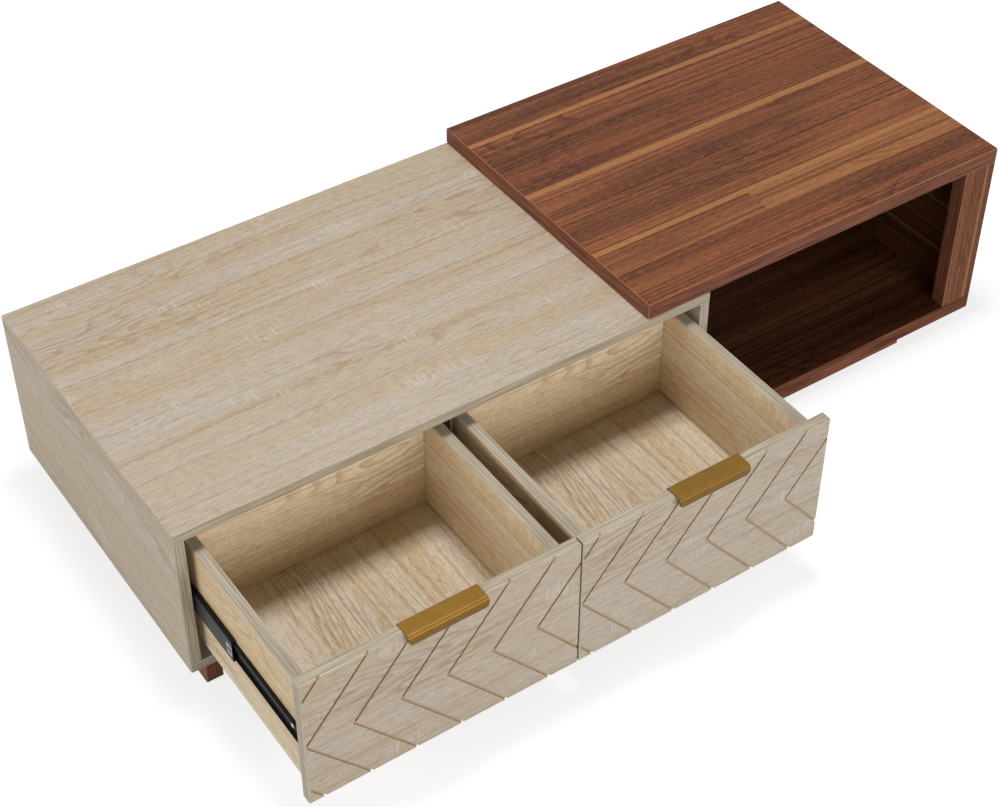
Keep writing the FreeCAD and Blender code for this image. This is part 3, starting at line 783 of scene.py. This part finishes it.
# The drawer boards use lighter copies of the oak print than the cabinet: painted light making up for
# the light the drawer box shuts out.
BOTTOM_OAK_PAINTED_LIGHT = OakColours(
    pale=shade(228, 215, 194), tan=shade(220, 198, 162),
    line=shade(162, 130, 91), mark=shade(235, 224, 206),
)
WALL_OAK_PAINTED_LIGHT = OakColours(
    pale=shade(234, 217, 188), tan=shade(226, 200, 156),
    line=shade(172, 136, 92), mark=shade(238, 226, 203),
)
for drawer, front_seed in (("left_drawer", 21.0), ("right_drawer", 23.0)):
    front = drawer + "_front"
    dress(front_finish(front + "_oak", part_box(front)[0], front_seed), front)
    for board, along, across, seed, colours in (
        ("_left_side", Y, Z, 31.0, WALL_OAK_PAINTED_LIGHT),
        ("_right_side", Y, Z, 33.0, WALL_OAK_PAINTED_LIGHT),
        ("_back", X, Z, 35.0, WALL_OAK_PAINTED_LIGHT),
        ("_bottom", Y, X, 37.0, BOTTOM_OAK_PAINTED_LIGHT),
    ):
        name = drawer + board
        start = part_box(name)[0]
        dress(oak_finish(name + "_oak", along, across, start, seed, colours, INSIDE_FIGURE), name)

# Edge pulls: brass-coloured sheet, bent over the front's top edge and screwed to
# its back through the flange.
DRAWERS = ("left_drawer", "right_drawer")
BRASS_YELLOW = shade(117, 87, 38)
BRUSHED_LINES_PER_METRE = (900.0, 30.0, 30.0)
brass = metal_finish("satin_brass", BRASS_YELLOW, 0.5, BRUSHED_LINES_PER_METRE)
dress(brass, "left_drawer_pull", "right_drawer_pull")

BACK = (0.0, 1.0, 0.0)
PULL_SCREW_REACH = 0.038
PULL_SCREW_RISE = 0.010
PULL_SCREW_RADIUS = 0.0034
PULL_SCREW_HEIGHT = 0.0018
screw = cross_screw("pull_screw", PULL_SCREW_RADIUS, PULL_SCREW_HEIGHT, brass)
for drawer in DRAWERS:
    low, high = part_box(drawer + "_pull")
    middle = (low[X] + high[X]) / 2
    for side, reach in (("left", -PULL_SCREW_REACH), ("right", PULL_SCREW_REACH)):
        spot = (middle + reach, high[Y], low[Z] + PULL_SCREW_RISE)
        fix(screw, f"{drawer}_pull_screw_{side}", spot, BACK, drawer)
bpy.data.objects.remove(screw)

# Telescopic runners: three black steel channels per side, rolled to shape, with
# ball cages of bright steel between them.
RUNNER_BLACK = shade(17, 17, 18)
RUNNER_SHINE = 0.25
black = coated_finish("black_runner_coat", RUNNER_BLACK, roughness=0.5)
black.node_tree.nodes["Principled BSDF"].inputs["Specular IOR Level"].default_value = RUNNER_SHINE
for drawer in DRAWERS:
    dress(black, drawer + "_cabinet_runners", drawer + "_middle_runners", drawer + "_drawer_runners")
    dress(zinc, drawer + "_ball_cages")

# Runner screws: bright cross heads that hold the drawer runners to the drawer's
# sides, and nearly flush ones that hold the cabinet runners to the walls.
RIGHT = (1.0, 0.0, 0.0)
RUNNER_SHEET = 0.0012
RUNNER_SCREW_RADIUS = 0.0034
SIDE_SCREW_HEIGHT = 0.0018
SIDE_SCREW_SHARES = (0.06, 0.62, 0.9)
WALL_SCREW_HEIGHT = 0.00025
WALL_SCREW_SHARES = (0.15, 0.8)
side_screw = cross_screw("drawer_runner_screw", RUNNER_SCREW_RADIUS, SIDE_SCREW_HEIGHT, zinc)
wall_screw = cross_screw("cabinet_runner_screw", RUNNER_SCREW_RADIUS, WALL_SCREW_HEIGHT, zinc)
for drawer in DRAWERS:
    left_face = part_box(drawer + "_left_side")[0][X] - RUNNER_SHEET
    right_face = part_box(drawer + "_right_side")[1][X] + RUNNER_SHEET
    low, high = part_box(drawer + "_drawer_runners")
    rise = (low[Z] + high[Z]) / 2
    for count, share in enumerate(SIDE_SCREW_SHARES):
        run = between(low[Y], high[Y], share)
        for side, face, facing in (("left", left_face, LEFT), ("right", right_face, RIGHT)):
            name = f"{drawer}_{side}_runner_screw_{count}"
            fix(side_screw, name, (face, run, rise), facing, drawer)
    low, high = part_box(drawer + "_cabinet_runners")
    left_wall = low[X] + RUNNER_SHEET
    right_wall = high[X] - RUNNER_SHEET
    for count, share in enumerate(WALL_SCREW_SHARES):
        run = between(low[Y], high[Y], share)
        for side, face, facing in (("left", left_wall, RIGHT), ("right", right_wall, LEFT)):
            name = f"{drawer}_{side}_wall_screw_{count}"
            fix(wall_screw, name, (face, run, rise), facing, "cabinet")
bpy.data.objects.remove(side_screw)
bpy.data.objects.remove(wall_screw)

# End plates of the middle runners: thin dull steel with rounded corners and a
# slot, spot-welded to the front end of each middle channel.
STEEL_GREY = shade(148, 148, 148)
PLATE_LENGTH = 0.014
PLATE_HEIGHT = 0.020
PLATE_SHEET = 0.0004
PLATE_CORNER = 0.003
PLATE_CORNER_STEPS = 4
PLATE_CREASE = 35
SLOT_RADIUS = 0.004
SLOT_SIDES = 24
SLOT_STRETCH = (1.5, 0.8, 1.0)
PUNCH_DEPTH = PLATE_SHEET * 4


def stands_upright(edge):
    """Whether an edge runs through the plate's sheet, at one of its corners."""
    first, last = (corner.co for corner in edge.verts)
    return abs(first.z - last.z) > PLATE_SHEET / 2


bpy.ops.object.select_all(action="DESELECT")
bpy.ops.mesh.primitive_cube_add(
    size=1.0, location=(0, 0, PLATE_SHEET / 2), scale=(PLATE_LENGTH, PLATE_HEIGHT, PLATE_SHEET),
)
plate = begin("runner_end_plate")
open_with(plate, "EDGE", stands_upright)
bpy.ops.mesh.bevel(offset=PLATE_CORNER, segments=PLATE_CORNER_STEPS, affect="EDGES")
bpy.ops.object.mode_set(mode="OBJECT")
bpy.ops.object.select_all(action="DESELECT")
bpy.ops.mesh.primitive_cylinder_add(vertices=SLOT_SIDES, radius=SLOT_RADIUS, depth=PUNCH_DEPTH)
punch = bpy.context.object
punch.scale = SLOT_STRETCH
cut_away(plate, punch)
smooth(plate, metal_finish("dull_steel", STEEL_GREY, roughness=0.5), PLATE_CREASE)
for drawer, body in (("left_drawer", "left_runners"), ("right_drawer", "right_runners")):
    low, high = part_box(drawer + "_middle_runners")
    run = low[Y] + PLATE_LENGTH / 2
    rise = (low[Z] + high[Z]) / 2
    fix(plate, f"{drawer}_left_runner_end", (low[X], run, rise), LEFT, body)
    fix(plate, f"{drawer}_right_runner_end", (high[X], run, rise), RIGHT, body)
bpy.data.objects.remove(plate)

# Studio: a broad sheet of pale paper under the table, a white room, a soft box
# overhead and one on each side, and the camera where the photograph was taken.
WHITE = (1.0, 1.0, 1.0, 1.0)
PAPER_GREY = (0.4, 0.4, 0.4, 1.0)
PAPER_SIZE = 14.0
PAPER_ROUGHNESS = 0.9

# Glow of the paper under the table, and the distances over which it grows to white.
GLOW_UNDER_TABLE = 0.74
GLOW_GROWS = (0.8, 1.9)

# Share of the white room that lights the table.
ROOM_LIGHT = 0.05


def seen_rays(tree):
    """1 for what the camera, gloss and glass see, 0 for the light on the table."""
    rays = put(tree, "LightPath").outputs
    seen = calc(tree, "MAXIMUM", rays["Is Camera Ray"], rays["Is Glossy Ray"])
    return calc(tree, "MAXIMUM", seen, rays["Is Transmission Ray"])


bpy.ops.object.select_all(action="DESELECT")
bpy.ops.mesh.primitive_plane_add(size=PAPER_SIZE, location=(0.0, 0.0, 0.0))
floor = bpy.context.object
floor.name = "studio_floor"
paper, tree, shader = new_finish("studio_floor_paper")
shader.inputs["Base Color"].default_value = PAPER_GREY
shader.inputs["Roughness"].default_value = PAPER_ROUGHNESS
shader.inputs["Specular IOR Level"].default_value = 0.0
shader.inputs["Emission Color"].default_value = WHITE
place = put(tree, "TexCoord").outputs["Object"]
away = put(tree, "VectorMath", [(0, place)], operation="LENGTH").outputs["Value"]
grown = fade(tree, away, *GLOW_GROWS)
glow = calc(tree, "MULTIPLY_ADD", grown, 1 - GLOW_UNDER_TABLE, GLOW_UNDER_TABLE)
tree.links.new(calc(tree, "MULTIPLY", seen_rays(tree), glow), shader.inputs["Emission Strength"])
floor.data.materials.append(paper)

world = bpy.data.worlds.new("studio")
bpy.context.scene.world = world
world.use_nodes = True
tree = world.node_tree
room = tree.nodes["Background"]
room.inputs["Color"].default_value = WHITE
light = calc(tree, "MULTIPLY_ADD", seen_rays(tree), 1 - ROOM_LIGHT, ROOM_LIGHT)
tree.links.new(light, room.inputs["Strength"])


def softbox(name, place, target, size, watts):
    """Large soft lamp aimed at a point."""
    lamp = bpy.data.lights.new(name, "AREA")
    lamp.shape = "RECTANGLE"
    lamp.size, lamp.size_y = size
    lamp.energy = watts
    holder = bpy.data.objects.new(name, lamp)
    holder.location = place
    holder.rotation_euler = (Vector(target) - Vector(place)).to_track_quat("-Z", "Y").to_euler()
    bpy.context.scene.collection.objects.link(holder)


softbox("overhead_box", place=(-0.1, 0.04, 3.4), target=(-0.1, 0.0, 0.0), size=(0.8, 0.6), watts=61)
softbox("front_box", place=(-0.2, -3.3, 1.25), target=(-0.2, -0.2, 0.2), size=(3.0, 1.1), watts=75)
softbox("rear_box", place=(0.3, 3.4, 0.9), target=(0.0, 0.2, 0.2), size=(3.0, 1.1), watts=24)
softbox("left_box", place=(-3.4, 0.1, 1.1), target=(-0.5, 0.1, 0.2), size=(2.4, 1.4), watts=46)
softbox("right_box", place=(3.6, 0.1, 0.8), target=(0.5, 0.1, 0.2), size=(2.4, 1.2), watts=20)

CAMERA_PLACE = (-1.31899, -1.74068, 2.09247)
CAMERA_TURN_DEGREES = (48.4488, -0.0063, -34.1185)
camera_data = bpy.data.cameras.new("photo_camera")
camera_data.sensor_width = 36.0
camera_data.sensor_fit = "HORIZONTAL"
camera_data.lens = 72.55
camera_data.shift_x = 0.0033
camera_data.shift_y = -0.0375
camera = bpy.data.objects.new("photo_camera", camera_data)
camera.location = CAMERA_PLACE
camera.rotation_euler = [math.radians(angle) for angle in CAMERA_TURN_DEGREES]
bpy.context.scene.collection.objects.link(camera)
bpy.context.scene.camera = camera
bpy.context.scene.view_settings.view_transform = "Standard"
